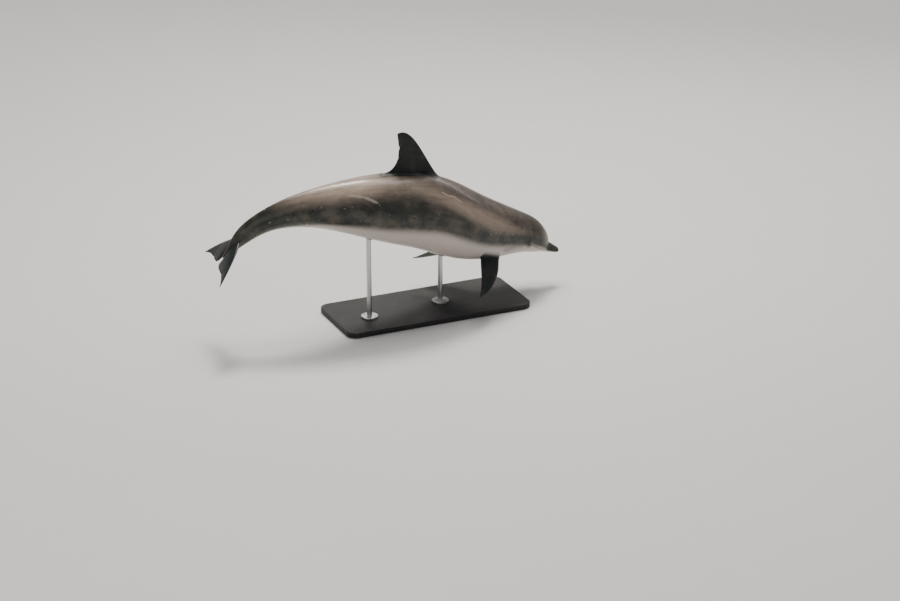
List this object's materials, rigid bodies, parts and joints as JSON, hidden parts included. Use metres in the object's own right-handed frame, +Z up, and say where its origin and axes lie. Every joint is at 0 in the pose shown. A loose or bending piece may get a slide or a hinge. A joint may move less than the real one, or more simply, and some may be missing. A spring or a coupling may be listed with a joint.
{
  "type": "dolphin model",
  "caption": "Life-size model of a bottlenose dolphin in mid leap, back arched and head down, held over a flat display base by upright rods.",
  "frame": {"origin": "centre of the underside of the display base", "axes": "+Z up, +X the way the dolphin heads, +Y to its left"},
  "size_m": [2.5267, 0.8209, 1.252],
  "materials": {
    "skin_dark": "satin, wet-looking dark grey skin",
    "skin_grey": "satin, wet-looking mid grey skin that pales to the belly",
    "skin_fin": "satin, near-black grey skin",
    "eye_dark": "polished dark brown",
    "stand_black": "satin black paint on board",
    "stand_steel": "brushed"
  },
  "bodies": {
    "root": {"upper_beak": "skin_dark", "lower_jaw": "skin_grey", "melon": "skin_dark", "head": "skin_dark", "neck": "skin_grey", "chest": "skin_grey", "midriff": "skin_grey", "back": "skin_dark", "loin": "skin_dark", "tail_stock_front": "skin_dark", "tail_stock_rear": "skin_dark", "tail_end": "skin_dark", "dorsal_fin": "skin_fin", "flipper_left": "skin_fin", "flipper_right": "skin_fin", "fluke_left": "skin_fin", "fluke_right": "skin_fin", "eye_left": "eye_dark", "eye_right": "eye_dark", "stand_base": "stand_black", "stand_rod_front": "stand_steel", "stand_rod_rear": "stand_steel", "stand_flange_front": "stand_steel", "stand_flange_rear": "stand_steel"}
  },
  "joints": []
}
